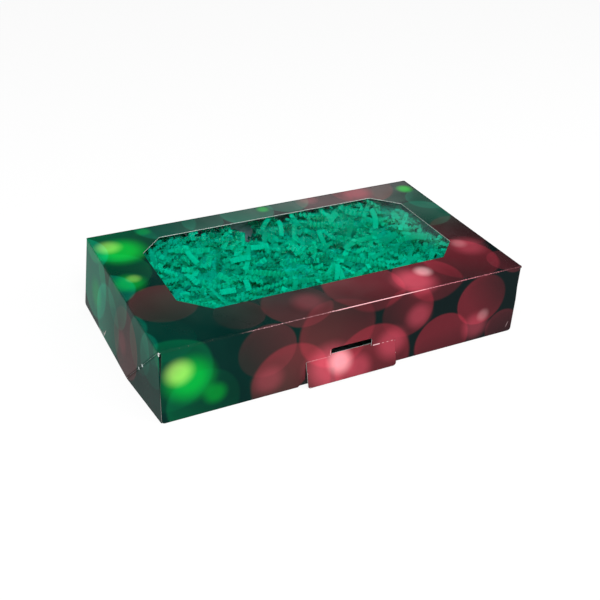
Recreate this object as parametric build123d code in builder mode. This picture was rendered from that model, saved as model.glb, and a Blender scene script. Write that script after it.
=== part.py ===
from build123d import *
import math
import os

os.makedirs("parts", exist_ok=True)

# A windowed carton for sweets, folded and glued from one sheet of coated board: a tray with a
# hinged lid that closes over it. X runs along the front, Y to the back, Z up. The origin is the
# middle of the tray's footprint, on the surface that the carton stands on.

# Closed carton, over the lid
carton_length = 240.0
carton_depth = 139.6
carton_height = 48.6

# Board and folds
board = 0.5
fold_radius = 0.4
crease_gap = 0.1
score_width = 0.6
score_depth = 0.15

# Glued corner flaps
glue_flap_width = 24.0
glue_flap_taper = 7.0
glue_flap_margin = 1.5

# Fit of the lid over the tray
side_gap = 0.45
front_gap = 0.3
rim_gap = 0.4
skirt_lift = 0.4
rear_relief = 0.8

# Window and its film
window_length = 190.0
window_width = 94.0
window_corner = 16.5
window_shift_x = 1.8
window_shift_y = 6.3
film_thickness = 0.2
film_margin = 9.0

# Front panel of the lid
panel_corner_radius = 2.0
corner_relief = 1.6
corner_relief_share = 0.5

# Lock tab, its crease and the slot over it
tab_width = 60.4
tab_shift = -0.8
tab_crease_height = 17.0
tab_gap = 0.3
tab_corner_radius = 2.2
tab_dog_ear = 0.8
tab_swing_angle = 16.0
nose_height = 1.4
slot_width = 27.6
slot_top = 22.4
slot_radius = 1.4
slot_clearance = 0.8
cutout_left_chamfer = 4.5
cutout_right_chamfer = 1.0

# Spring of the lid's end flaps away from the tray, in degrees
left_flare_angle = 6.0
right_flare_angle = 3.0
gusset_tip_relief = 1.2
gusset_front_gap = 0.2

# Bed of crinkle-cut paper, and the loose strips on it
bed_clearance = 0.5
bed_top = 36.6
bed_front_slope = 5.0
bed_front_drop = 4.0
bed_back_slope = 24.0
bed_back_drop = 9.0
bed_end_chamfer = 4.0
bed_chamfer_share = 0.6
strip_width = 3.4
strip_thickness = 0.3
strip_pleat = 2.1
strip_height = 1.9
strip_pleats = 7
strip_clearance = 1.6
strip_gap = 0.2
strip_turn_angle = 137.5

# Heights, lengths and faces that the pieces share
half_length = carton_length / 2
half_depth = carton_depth / 2
lid_underside = carton_height - board
panel_drop = lid_underside - skirt_lift
tray_half_length = half_length - board - side_gap
tray_front = half_depth - 2 * board - front_gap
tray_rim = lid_underside - rim_gap
end_wall_front = tray_front - board
end_wall_back = half_depth - board
end_wall_half = (end_wall_front + end_wall_back) / 2
end_wall_middle = (end_wall_back - end_wall_front) / 2
wall_height = tray_rim - board
gusset_front = half_depth - board - gusset_front_gap


# Bottom of the tray
with BuildPart() as tray_bottom:
    with BuildSketch(Plane.XY):
        with Locations((0, end_wall_middle)):
            Rectangle(2 * tray_half_length, tray_front + half_depth)
    extrude(amount=board)
    fillet(tray_bottom.faces().sort_by(Axis.Z)[0].edges(), fold_radius)

# Back wall, which carries the lid on the crease along its top
with BuildPart() as tray_back_wall:
    with BuildSketch(Plane.XZ.offset(-half_depth)):
        with Locations((0, board)):
            Rectangle(
                2 * tray_half_length,
                lid_underside - crease_gap - board,
                align=(Align.CENTER, Align.MIN),
            )
    extrude(amount=board)

# Front wall, with the slot that the nose of the lock tab hooks into
with BuildPart() as tray_front_wall:
    with BuildSketch(Plane.XZ.offset(tray_front - board)):
        with Locations((0, board)):
            Rectangle(2 * tray_half_length, wall_height, align=(Align.CENTER, Align.MIN))
        slot_floor = tab_crease_height - board - slot_clearance
        with Locations((tab_shift, (slot_top + slot_floor) / 2)):
            RectangleRounded(
                slot_width + 2 * slot_clearance,
                slot_top - slot_floor,
                slot_radius,
                mode=Mode.SUBTRACT,
            )
    extrude(amount=board)

# End wall, scored along the two diagonals on which the empty tray folds flat
with BuildPart() as tray_left_end_wall:
    with BuildSketch(Plane.YZ.offset(-tray_half_length)):
        with Locations((end_wall_middle, board)):
            Rectangle(2 * end_wall_half, wall_height, align=(Align.CENTER, Align.MIN))
    extrude(amount=board)
    with BuildSketch(Plane.YZ.offset(-tray_half_length)):
        for turn in (-1, 1):
            score_middle = end_wall_middle + turn * (end_wall_half - wall_height / 2)
            with Locations(Location((score_middle, board + wall_height / 2), -turn * 45)):
                Rectangle(math.sqrt(2) * wall_height, score_width)
    extrude(amount=score_depth, mode=Mode.SUBTRACT)

with BuildPart() as tray_right_end_wall:
    mirror(tray_left_end_wall.part, about=Plane.YZ)


# A glued corner flap, upright against a wall: its folded edge stands at the left end, and its
# free edge and its top and bottom are cut back so that it slides past its neighbours.
def glue_flap(inner_face, left_edge, low, high):
    with BuildPart() as flap:
        with BuildSketch(Plane.XZ.offset(inner_face)):
            with BuildLine():
                Polyline(
                    (left_edge, low + glue_flap_margin),
                    (left_edge + glue_flap_width, low + glue_flap_taper),
                    (left_edge + glue_flap_width, high - glue_flap_taper),
                    (left_edge, high - glue_flap_margin),
                    close=True,
                )
            make_face()
        extrude(amount=board)
        fillet(flap.edges().filter_by(Axis.Y).sort_by(Axis.X)[-2:], panel_corner_radius)
    return flap


# Corner flaps of the tray, folded from its end walls and glued inside its front and back walls
flap_edge = board - tray_half_length
tray_front_left_glue_flap = glue_flap(end_wall_front - board, flap_edge, board, tray_rim)
tray_back_left_glue_flap = glue_flap(-end_wall_back, flap_edge, board, tray_rim)

with BuildPart() as tray_front_right_glue_flap:
    mirror(tray_front_left_glue_flap.part, about=Plane.YZ)

with BuildPart() as tray_back_right_glue_flap:
    mirror(tray_back_left_glue_flap.part, about=Plane.YZ)

# Top of the lid, with the window cut out of it
with BuildPart() as lid_top:
    with BuildSketch(Plane.XY.offset(lid_underside)):
        Rectangle(carton_length, carton_depth)
    extrude(amount=board)
    fillet(lid_top.faces().sort_by(Axis.Z)[-1].edges(), fold_radius)
    with BuildSketch(Plane.XY.offset(lid_underside)) as window:
        with Locations((window_shift_x, window_shift_y)):
            Rectangle(window_length, window_width)
        chamfer(window.vertices(), window_corner)
    extrude(amount=board, mode=Mode.SUBTRACT)

# Clear film, glued under the window
with BuildPart() as window_film:
    with BuildSketch(Plane.XY.offset(lid_underside - film_thickness)) as film:
        with Locations((window_shift_x, window_shift_y)):
            Rectangle(window_length + 2 * film_margin, window_width + 2 * film_margin)
        fillet(film.vertices(), panel_corner_radius)
    extrude(amount=film_thickness)

# Front panel of the lid. Its ends are cut back a little under the top corners, and the tab and
# the slot over it are cut out of its middle.
with BuildPart() as lid_front_panel:
    with BuildSketch(Plane.XZ.offset(half_depth - board)) as front_outline:
        with BuildLine():
            relief_end = carton_height * corner_relief_share
            Polyline(
                (-half_length, skirt_lift),
                (-half_length, relief_end),
                (corner_relief - half_length, lid_underside),
                (half_length - corner_relief, lid_underside),
                (half_length, relief_end),
                (half_length, skirt_lift),
                close=True,
            )
        make_face()
        fillet(front_outline.vertices().group_by(Axis.Y)[0], panel_corner_radius)
        with BuildSketch(mode=Mode.PRIVATE) as cutout:
            with Locations((tab_shift, skirt_lift)):
                Rectangle(
                    tab_width + 2 * tab_gap,
                    tab_crease_height - skirt_lift,
                    align=(Align.CENTER, Align.MIN),
                )
        add(cutout.sketch, mode=Mode.SUBTRACT)
        foot = front_outline.vertices().group_by(Axis.Y)[0].sort_by(Axis.X)
        chamfer(foot[1], cutout_left_chamfer)
        foot = front_outline.vertices().group_by(Axis.Y)[0].sort_by(Axis.X)
        chamfer(foot[2], cutout_right_chamfer)
        with BuildSketch(mode=Mode.PRIVATE) as slot:
            with Locations((tab_shift, tab_crease_height)):
                Rectangle(
                    slot_width,
                    slot_top - tab_crease_height,
                    align=(Align.CENTER, Align.MIN),
                )
            fillet(slot.vertices().group_by(Axis.Y)[-1], slot_radius)
        add(slot.sketch, mode=Mode.SUBTRACT)
    extrude(amount=board)

# Lock tab, swung out on its crease. Its nose stands up into the slot and tips in behind the
# slot's edge as the tab swings out.
swing = math.radians(tab_swing_angle)
tab_plane = Plane(
    origin=(tab_shift, -half_depth, tab_crease_height),
    x_dir=(1, 0, 0),
    z_dir=(0, -math.cos(swing), math.sin(swing)),
)
tab_drop = tab_crease_height - skirt_lift

with BuildPart() as lock_tab:
    with BuildSketch(tab_plane) as tab_outline:
        with Locations((0, -crease_gap)):
            Rectangle(
                tab_width,
                tab_drop - crease_gap,
                align=(Align.CENTER, Align.MAX),
            )
        bottom_corners = tab_outline.vertices().group_by(Axis.Y)[0].sort_by(Axis.X)
        chamfer(bottom_corners[0], tab_dog_ear)
        bottom_corners = tab_outline.vertices().group_by(Axis.Y)[0].sort_by(Axis.X)
        fillet(bottom_corners[-1], tab_corner_radius)
        with Locations((0, -crease_gap)):
            Rectangle(
                slot_width - 2 * tab_gap,
                nose_height + crease_gap,
                align=(Align.CENTER, Align.MIN),
            )
    extrude(amount=-board)


# The plane of the lid's left end flap when it has sprung out by an angle: its X axis runs to the
# front along the crease, and its Y axis up the flap.
def flap_plane(flare):
    lean = math.radians(flare)
    return Plane(
        origin=(-half_length, 0, lid_underside),
        x_dir=(0, -1, 0),
        z_dir=(-math.cos(lean), 0, math.sin(lean)),
    )


# Main part of an end flap: from its free rear edge to the diagonal crease of the gusset
def end_flap(flare):
    with BuildPart() as flap:
        with BuildSketch(flap_plane(flare)) as outline:
            with BuildLine():
                Polyline(
                    (rear_relief - half_depth, -crease_gap),
                    (gusset_front - 3 * crease_gap, -crease_gap),
                    (gusset_front - panel_drop - 2 * crease_gap, -panel_drop),
                    (rear_relief - half_depth, -panel_drop),
                    close=True,
                )
            make_face()
            rear_corner = outline.vertices().group_by(Axis.Y)[0].sort_by(Axis.X)[0]
            fillet(rear_corner, panel_corner_radius)
        extrude(amount=-board)
    return flap


# Triangle between the diagonal crease and the front corner. It folds in about the inner line of
# the crease, so that its front edge stays behind the end of the front panel.
def gusset(flare):
    flap = flap_plane(flare)
    lean = math.radians(flare)
    fold = math.acos(math.cos(lean) ** 2)
    along = (-flap.x_dir - flap.y_dir).normalized()
    across = (flap.x_dir - flap.y_dir).normalized()
    outward = flap.z_dir * math.cos(fold) + across * math.sin(fold)
    crease_top = flap.from_local_coords((gusset_front, 0, -board))
    crease_plane = Plane(origin=crease_top, x_dir=along, z_dir=outward)
    side = panel_drop / math.sqrt(2)
    with BuildPart() as triangle:
        with BuildSketch(crease_plane):
            with BuildLine():
                Polyline(
                    (gusset_tip_relief + crease_gap, crease_gap),
                    (2 * side - crease_gap, crease_gap),
                    (side, side),
                    (gusset_tip_relief, gusset_tip_relief),
                    close=True,
                )
            make_face()
        extrude(amount=board)
    return triangle


lid_left_end_flap = end_flap(left_flare_angle)
lid_left_gusset = gusset(left_flare_angle)
right_flap_pattern = end_flap(right_flare_angle)
right_gusset_pattern = gusset(right_flare_angle)

with BuildPart() as lid_right_end_flap:
    mirror(right_flap_pattern.part, about=Plane.YZ)

with BuildPart() as lid_right_gusset:
    mirror(right_gusset_pattern.part, about=Plane.YZ)

# Corner flaps of the lid, folded from its gussets and glued behind its front panel
lid_left_glue_flap = glue_flap(
    half_depth - 2 * board, board + crease_gap - half_length, skirt_lift, lid_underside
)

with BuildPart() as lid_right_glue_flap:
    mirror(lid_left_glue_flap.part, about=Plane.YZ)

# Bed of crinkle-cut paper: flat in the middle, and falling away towards the walls
bed_half_length = tray_half_length - board - bed_clearance
bed_front = end_wall_front - board - bed_clearance
bed_back = end_wall_back - board - bed_clearance

with BuildPart() as shred_bed:
    with BuildSketch(Plane.YZ):
        with BuildLine():
            Polyline(
                (-bed_front, board),
                (-bed_front, bed_top - bed_front_drop),
                (bed_front_slope - bed_front, bed_top),
                (bed_back - bed_back_slope, bed_top),
                (bed_back, bed_top - bed_back_drop),
                (bed_back, board),
                close=True,
            )
        make_face()
    extrude(amount=bed_half_length, both=True)
    end_edges = shred_bed.edges().filter_by(Axis.Y).group_by(Axis.Z)[-1]
    chamfer(end_edges, bed_end_chamfer, bed_end_chamfer * bed_chamfer_share)

# One strip, pressed into pleats like an accordion, which lies flat or stands on its edge
strip_length = strip_pleats * strip_pleat
slant = math.atan2(strip_height, strip_pleat / 2)
rise = strip_thickness / math.cos(slant)
ridge = [
    (i * strip_pleat / 2 - strip_length / 2, strip_height * (i % 2))
    for i in range(2 * strip_pleats + 1)
]


def pleated_strip(plane):
    with BuildPart() as strip:
        with BuildSketch(plane):
            with BuildLine():
                Polyline(*ridge, *[(x, z + rise) for x, z in reversed(ridge)], close=True)
            make_face()
        extrude(amount=strip_width / 2, both=True)
    return strip


flat_strip = pleated_strip(Plane.XZ)
standing_strip = pleated_strip(Plane.XY)

# Loose strips on the flat of the bed, each turned another way in its own place. Across every
# second one of them stands another.
strip_cell = math.hypot(strip_length, strip_width) + strip_clearance
bed_flat_depth = bed_front + bed_back - bed_front_slope - bed_back_slope
bed_flat_length = 2 * (bed_half_length - bed_end_chamfer)
strip_columns = int(bed_flat_length / strip_cell)
strip_rows = int(bed_flat_depth / strip_cell)
bed_flat_middle = (bed_front_slope - bed_front + bed_back - bed_back_slope) / 2
column_pitch = bed_flat_length / strip_columns
row_pitch = bed_flat_depth / strip_rows
flat_level = bed_top + strip_gap
standing_level = flat_level + strip_height + rise + strip_gap + strip_width / 2
flat_places = []
standing_places = []
for column in range(strip_columns):
    for row in range(strip_rows):
        x = (column + 1 / 2) * column_pitch - bed_flat_length / 2
        y = bed_flat_middle + (row + 1 / 2) * row_pitch - bed_flat_depth / 2
        turn = strip_turn_angle * (column * strip_rows + row)
        flat_places.append(Location((x, y, flat_level), (0, 0, turn)))
        if (column + row) % 2 == 0:
            standing_places.append(Location((x, y, standing_level), (0, 0, turn + 90)))

with BuildPart() as crinkle_strips:
    with Locations(*flat_places):
        add(flat_strip.part)
    with Locations(*standing_places):
        add(standing_strip.part)

pieces = {
    "tray_bottom": tray_bottom,
    "tray_back_wall": tray_back_wall,
    "tray_front_wall": tray_front_wall,
    "tray_left_end_wall": tray_left_end_wall,
    "tray_right_end_wall": tray_right_end_wall,
    "tray_front_left_glue_flap": tray_front_left_glue_flap,
    "tray_front_right_glue_flap": tray_front_right_glue_flap,
    "tray_back_left_glue_flap": tray_back_left_glue_flap,
    "tray_back_right_glue_flap": tray_back_right_glue_flap,
    "shred_bed": shred_bed,
    "crinkle_strips": crinkle_strips,
    "lid_top": lid_top,
    "window_film": window_film,
    "lid_front_panel": lid_front_panel,
    "lid_left_glue_flap": lid_left_glue_flap,
    "lid_right_glue_flap": lid_right_glue_flap,
    "lock_tab": lock_tab,
    "lid_left_end_flap": lid_left_end_flap,
    "lid_left_gusset": lid_left_gusset,
    "lid_right_end_flap": lid_right_end_flap,
    "lid_right_gusset": lid_right_gusset,
}
for name, piece in pieces.items():
    piece.part.label = name
    export_step(piece.part, f"parts/{name}.step")
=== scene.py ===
import math

import bpy
import numpy as np
from mathutils import Matrix, Vector


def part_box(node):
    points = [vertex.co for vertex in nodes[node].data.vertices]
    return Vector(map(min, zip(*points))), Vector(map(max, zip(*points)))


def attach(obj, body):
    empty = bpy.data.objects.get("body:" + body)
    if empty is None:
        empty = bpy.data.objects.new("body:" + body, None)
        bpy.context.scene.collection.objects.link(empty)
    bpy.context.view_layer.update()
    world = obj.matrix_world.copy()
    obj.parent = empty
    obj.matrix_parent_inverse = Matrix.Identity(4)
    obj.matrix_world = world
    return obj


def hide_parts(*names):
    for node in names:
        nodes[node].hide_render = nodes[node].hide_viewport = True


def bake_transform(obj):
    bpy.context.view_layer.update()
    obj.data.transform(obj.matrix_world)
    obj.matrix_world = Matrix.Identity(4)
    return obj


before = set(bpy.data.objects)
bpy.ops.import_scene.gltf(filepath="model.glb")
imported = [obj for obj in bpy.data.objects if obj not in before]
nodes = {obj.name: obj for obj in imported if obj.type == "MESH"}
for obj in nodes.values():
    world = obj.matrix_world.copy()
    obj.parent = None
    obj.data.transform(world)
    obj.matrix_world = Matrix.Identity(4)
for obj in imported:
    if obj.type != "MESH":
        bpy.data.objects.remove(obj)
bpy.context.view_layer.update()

MM = 0.001

# Sizes of the carton, in millimetres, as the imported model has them
HALF_X, HALF_Y, HEIGHT = 120.0, 69.8, 48.6
BOARD, UNDER = 0.5, 48.1
LEFT_FLARE, RIGHT_FLARE = math.radians(6.0), math.radians(3.0)
TAB_CREASE, TAB_SWING, TAB_SHIFT = 17.0, math.radians(16.0), -0.8
TAB_HALF, SLOT_HALF = 30.2, 13.8
GUSSET_FRONT = 69.1
SIDE_RELIEF = 1.6
# Outer faces of the tray's walls, by their distance from the middle
TRAY_END_FACE, TRAY_FRONT_FACE = 119.05, 68.5

# Directions along the carton; with its value at the origin one is a coordinate on the flat sheet
ALONG_X, ALONG_Y, ALONG_Z = (1, 0, 0), (0, 1, 0), (0, 0, 1)
# Rows of the sheet at which the lid's front and the back wall end
FRONT_EDGE, BACK_EDGE = -HALF_Y - HEIGHT, HALF_Y + HEIGHT
ACROSS, BACKWARD, DOWN_FRONT = (ALONG_X, 0.0), (ALONG_Y, 0.0), (ALONG_Z, FRONT_EDGE)


# Node helpers
def srgb(*colour):
    """The linear colour of three values from 0 to 255."""
    shares = [c / 255.0 for c in colour]
    return (*[c / 12.92 if c <= 0.04045 else ((c + 0.055) / 1.055) ** 2.4 for c in shares], 1.0)


class Graph:
    """Builds shader nodes; most calls give back an output socket."""

    def __init__(self, tree):
        self.tree = tree

    def node(self, kind, **values):
        made = self.tree.nodes.new(kind)
        for key, value in values.items():
            setattr(made, key, value)
        return made

    def put(self, socket, value):
        if isinstance(value, bpy.types.NodeSocket):
            self.tree.links.new(value, socket)
        else:
            socket.default_value = value

    def fill(self, made, **inputs):
        """Puts each value into the socket of its name, and gives the first output."""
        for name, value in inputs.items():
            self.put(made.inputs[name], value)
        return made.outputs[0]

    def feed(self, made, *values):
        """Puts the values into the first sockets, and gives the first output."""
        for socket, value in zip(made.inputs, values):
            self.put(socket, value)
        return made.outputs[0]

    def math(self, operation, *values):
        return self.feed(self.node("ShaderNodeMath", operation=operation), *values)

    def times(self, a, b):
        return self.math("MULTIPLY", a, b)

    def plus(self, a, b):
        return self.math("ADD", a, b)

    def less(self, a, b):
        return self.math("SUBTRACT", a, b)

    def larger(self, a, b):
        return self.math("MAXIMUM", a, b)

    def unsigned(self, a):
        return self.math("ABSOLUTE", a)

    def dot(self, a, b):
        return self.vector("DOT_PRODUCT", a, b)

    def vector(self, operation, *values, scale=None):
        made = self.node("ShaderNodeVectorMath", operation=operation)
        self.feed(made, *values)
        if scale:
            self.fill(made, Scale=scale)
        plain = operation in ("DOT_PRODUCT", "LENGTH", "DISTANCE")
        return made.outputs["Value" if plain else "Vector"]

    def mix(self, factor, a, b, blend="MIX"):
        made = self.node("ShaderNodeMix", data_type="RGBA", blend_type=blend)
        self.put(made.inputs[0], factor)
        self.put(made.inputs[6], a)
        self.put(made.inputs[7], b)
        return made.outputs[2]

    def blend(self, factor, a, b):
        made = self.node("ShaderNodeMix", data_type="FLOAT")
        self.put(made.inputs[0], factor)
        self.put(made.inputs[2], a)
        self.put(made.inputs[3], b)
        return made.outputs[0]

    def ramp(self, value, low, high, to_low=0.0, to_high=1.0, smooth=True):
        kind = "SMOOTHSTEP" if smooth else "LINEAR"
        made = self.node("ShaderNodeMapRange", interpolation_type=kind)
        return self.feed(made, value, low, high, to_low, to_high)

    def noise(self, where, scale, detail=2.0, roughness=0.5, seed=0.0):
        made = self.node("ShaderNodeTexNoise", noise_dimensions="4D")
        self.fill(made, Vector=where, W=seed, Scale=scale, Detail=detail, Roughness=roughness)
        return made.outputs["Fac"]

    def away(self, where, at, size, turn=0.0):
        """Distance from a place, in a scale where the ellipse round it is at 1."""
        made = self.node("ShaderNodeMapping", vector_type="TEXTURE")
        spin = (0, 0, math.radians(turn))
        made = self.fill(made, Vector=where, Location=(*at, 0), Rotation=spin, Scale=(*size, 1))
        return self.vector("LENGTH", made)

    def where(self):
        """Place on the carton at rest, in millimetres."""
        place = self.node("ShaderNodeTexCoord").outputs["Object"]
        return self.vector("SCALE", place, scale=1 / MM)

    def two_shaders(self, factor, first, second):
        """A mix of two shader nodes; a factor of 0 gives the first."""
        made = self.node("ShaderNodeMixShader")
        self.feed(made, factor, first.outputs[0], second.outputs[0])
        return made

    def parts(self, where):
        made = self.node("ShaderNodeSeparateXYZ")
        self.feed(made, where)
        return tuple(made.outputs)

    def join(self, x, y, z=0.0):
        return self.feed(self.node("ShaderNodeCombineXYZ"), x, y, z)


def material(name, rough=0.5, specular=0.5):
    made = bpy.data.materials.new(name)
    made.use_nodes = True
    made.node_tree.nodes.clear()
    graph = Graph(made.node_tree)
    shader = graph.node("ShaderNodeBsdfPrincipled")
    shader.inputs["Roughness"].default_value = rough
    shader.inputs["Specular IOR Level"].default_value = specular
    out = graph.node("ShaderNodeOutputMaterial")
    made.node_tree.links.new(shader.outputs[0], out.inputs[0])
    return made, graph, shader, out


def bump(graph, height, distance):
    """Bump of a height field, by at most a distance in metres."""
    return graph.fill(graph.node("ShaderNodeBump"), Height=height, Distance=distance)


def coat(graph, shader, colour, height, distance):
    """Gives a shader its colour and a bump, which is returned."""
    slope = bump(graph, height, distance)
    graph.put(shader.inputs["Base Color"], colour)
    graph.put(shader.inputs["Normal"], slope)
    return slope


def speckled_back(graph, where):
    """Specks, and the colour of the board's grey back with them."""
    speck = graph.noise(where, 1.1, 4.0, 0.7, 5.0)
    return speck, graph.mix(graph.ramp(speck, 0.3, 0.7), BACK_DARK, BACK_PALE)


def dress(node, look):
    nodes[node].data.materials.clear()
    nodes[node].data.materials.append(look)


def new_mesh(name, points, faces, made, body=None):
    mesh = bpy.data.meshes.new(name)
    mesh.from_pydata([tuple(p) for p in points], [], [tuple(f) for f in faces])
    mesh.validate()
    obj = bpy.data.objects.new(name, mesh)
    bpy.context.scene.collection.objects.link(obj)
    mesh.materials.append(made)
    if body:
        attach(obj, body)
    return obj


def side_quads(size):
    """Quads between two rings of points, where the second's numbers follow the first's."""
    return [(i, (i + 1) % size, size + (i + 1) % size, size + i) for i in range(size)]


# The print
# One design runs over the whole flat sheet, in millimetres: the lid's top lies at its middle,
# and the panels that fold down from it carry on outwards. It is an even scatter of round lights
# out of focus, clear discs of crimson and green that overlap on a very dark pine green.
GROUND = srgb(0, 38, 34)
NIGHT = srgb(10, 22, 24)
RED = (0.12, 0.006, 0.013, 1)
WINE = (0.06, 0.005, 0.009, 1)
ROSE = (0.42, 0.05, 0.08, 1)
BLUSH = (0.56, 0.33, 0.34, 1)
GREEN = (0.0, 0.085, 0.022, 1)
MOSS = (0.0, 0.034, 0.018, 1)
LEAF = (0.0, 0.4, 0.012, 1)
LIME = (0.3, 0.42, 0.08, 1)
SEA = (0.0, 0.11, 0.064, 1)
BACK_DARK, BACK_PALE = srgb(148, 166, 174), srgb(178, 194, 200)

# place, radius, colour that the light adds, strength, side on which it is brighter (degrees)
LIGHTS = [
    # lid's top, in front of the window and to its right
    ((-114, -58), 19, MOSS, 0.35, 200),
    ((-101, -24), 20, WINE, 0.8, 90),
    ((-66, -52), 15, WINE, 0.3, 0),
    ((-31, -55), 21, WINE, 0.9, 250),
    ((15, -52), 25, RED, 1.1, 60),
    ((57, -58), 22, RED, 1.0, 120),
    ((89, -46), 25, RED, 1.0, 70),
    ((116, -60), 13, WINE, 0.9, 180),
    ((113, -13), 21, RED, 0.3, 200),
    ((103, 18), 19, SEA, 0.4, 20),
    ((119, 37), 16, SEA, 0.35, 180),
    ((100, 54), 15, MOSS, 0.35, 240),
    # behind the window and to its left
    ((82, 70), 24, RED, 0.5, 250),
    ((49, 64), 21, RED, 0.4, 280),
    ((22, 70), 16, SEA, 0.45, 270),
    ((-10, 66), 19, SEA, 0.7, 250),
    ((-43, 63), 14, SEA, 0.4, 270),
    ((-68, 69), 21, SEA, 0.4, 260),
    ((-103, 56), 25, GREEN, 0.75, 160),
    ((-117, 20), 23, GREEN, 0.4, 60),
    # front panel
    ((-114, -86), 25, GREEN, 0.42, 60),
    ((-95, -110), 22, GREEN, 0.4, 200),
    ((-56, -86), 18, WINE, 0.8, 30),
    ((-41, -111), 25, RED, 0.8, 60),
    ((-11, -84), 25, RED, 0.7, 240),
    ((14, -114), 27, RED, 1.0, 100),
    ((37, -83), 18, RED, 0.6, 20),
    ((65, -112), 20, RED, 0.95, 100),
    ((92, -88), 18, RED, 0.9, 210),
    ((112, -113), 13, WINE, 0.7, 120),
    # left end
    ((-139, 50), 26, SEA, 1.75, 60),
    ((-152, 19), 23, SEA, 0.75, 100),
    ((-128, 2), 18, SEA, 0.6, 0),
    ((-147, -16), 22, WINE, 1.0, 240),
    ((-134, -40), 17, SEA, 0.35, 0),
    ((-133, -58), 16, SEA, 0.4, 0),
]

# place, radius, colour, strength: soft glows
GLOWS = [
    ((-105, 44), 17, LEAF, 0.95),
    ((-111, 52), 9, LIME, 0.6),
    ((-112, 5), 11, LEAF, 0.55),
    ((-108, 9), 5, LIME, 0.4),
    ((-84, 64), 5.5, LEAF, 0.3),
    ((2, 65), 4.8, LEAF, 0.6),
    ((76, 64), 12, ROSE, 0.5),
    ((38, 67), 8, ROSE, 0.25),
    ((112, 57), 6.5, LEAF, 0.95),
    ((-24, -55), 11, ROSE, 0.22),
    ((47, -59), 15, ROSE, 0.95),
    ((58, -51), 6.5, BLUSH, 0.75),
    ((108, 34), 46, MOSS, 0.45),
    ((104, -34), 13, ROSE, 0.42),
    ((100, -29), 6, BLUSH, 0.22),
    ((-103, -92), 16, LEAF, 0.75),
    ((-109, -86), 9.5, LIME, 0.85),
    ((-88, -106), 8, LEAF, 0.4),
    ((-55, -107), 11, ROSE, 0.32),
    ((-16, -108), 17, ROSE, 0.8),
    ((-9, -106), 9, BLUSH, 0.75),
    ((3, -113), 10, ROSE, 0.5),
    ((27, -103), 12, ROSE, 0.5),
    ((45, -88), 10, ROSE, 0.45),
    ((90, -107), 11, ROSE, 0.45),
    ((95, -100), 5, BLUSH, 0.25),
    ((-147, 44), 12, LEAF, 0.22),
    ((-150, -10), 9, ROSE, 0.14),
]

# Panels that can't be seen from the front carry the same lights, strewn at random over the sheet
strewn = np.random.default_rng(5)
SHEET_X, SHEET_Y = 170, (-76, 306)
SEEN_X, SEEN_Y, ENDS_Y = 122, 71, 76


def strew(count, reach, tints, strong):
    """Place, radius, colour, strength and turn of the lights that miss the panels in view."""
    for _ in range(count):
        at = (float(strewn.uniform(-SHEET_X, SHEET_X)), float(strewn.uniform(*SHEET_Y)))
        radius = float(strewn.uniform(*reach))
        tint = tints[int(strewn.integers(len(tints)))]
        turn = float(strewn.uniform(0, 360))
        seen = at[0] < SEEN_X + radius and at[1] < SEEN_Y + radius
        if not seen and (abs(at[0]) < SEEN_X or abs(at[1]) < ENDS_Y):
            yield at, radius, tint, float(strewn.uniform(*strong)), turn


LIGHTS.extend(strew(110, (17, 28), (RED, RED, WINE, GREEN, MOSS, SEA), (0.5, 0.9)))
GLOWS.extend(
    (at, radius, tint, strength)
    for at, radius, tint, strength, _ in strew(50, (8, 15), (ROSE, ROSE, LEAF), (0.3, 0.8))
)

# Shares of a light's radius: its soft edge, its brighter rim and the fading of a glow
EDGE, RIM, GLOW = (1.05, 0.95), (0.7, 0.98), (1.2, 0.3)
# Brightness of the rim, and from the dark side of a light to its bright side
RIM_GAIN, SIDE_GAIN = (1.0, 1.18), (0.3, 1.35)
PRESS_GREYS = (0.46, 0.46, 0.46, 1), (0.54, 0.54, 0.54, 1)


def print_group(name, area):
    """The lights that reach one panel: area is the panel's least and greatest place each way."""
    low_u, high_u, low_v, high_v = area
    tree = bpy.data.node_groups.new(name, "ShaderNodeTree")
    tree.interface.new_socket("Sheet", in_out="INPUT", socket_type="NodeSocketVector")
    tree.interface.new_socket("Color", in_out="OUTPUT", socket_type="NodeSocketColor")
    graph = Graph(tree)
    sheet = graph.node("NodeGroupInput").outputs[0]
    slow = graph.noise(sheet, 0.02, 2.0, 0.5, 3.0)
    across = graph.parts(sheet)[0]
    ground = graph.mix(graph.ramp(slow, 0.3, 0.75), GROUND, srgb(2, 50, 42))
    colour = graph.mix(graph.ramp(across, -80.0, 50.0, 0.0, 0.9), ground, NIGHT)

    def near(at, reach):
        beside = low_u - reach < at[0] < high_u + reach
        return beside and low_v - reach < at[1] < high_v + reach

    def fading(at, far, close, strength):
        """Strength of a light: 0 at the far distance, full at the close one."""
        away = graph.vector("DISTANCE", sheet, (*at, 0))
        return away, graph.ramp(away, far, close, 0.0, strength)

    for at, radius, tint, strength, lean in LIGHTS:
        if near(at, radius * 1.07):
            away, disc = fading(at, EDGE[0] * radius, EDGE[1] * radius, strength)
            rim = graph.ramp(away, RIM[0] * radius, RIM[1] * radius, *RIM_GAIN)
            c, w = math.cos(math.radians(lean)) / radius, math.sin(math.radians(lean)) / radius
            side, middle = graph.dot(sheet, (c, w, 0)), at[0] * c + at[1] * w
            side = graph.ramp(side, middle - 1.0, middle + 1.0, *SIDE_GAIN, smooth=False)
            amount = graph.times(graph.times(disc, rim), side)
            colour = graph.mix(amount, colour, tint, "ADD")
    for at, radius, tint, strength in GLOWS:
        if near(at, radius * GLOW[0]):
            _, disc = fading(at, GLOW[0] * radius, GLOW[1] * radius, strength)
            colour = graph.mix(disc, colour, tint, "ADD")
    # the fine dots of the press, and a little unevenness of the ink
    grain = graph.noise(sheet, 3.2, 2.0, 0.6, 7.0)
    dots = graph.mix(graph.ramp(grain, 0.25, 0.75), *PRESS_GREYS)
    colour = graph.mix(0.35, colour, dots, "SOFT_LIGHT")
    graph.put(graph.node("NodeGroupOutput").inputs[0], colour)
    return tree


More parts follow.
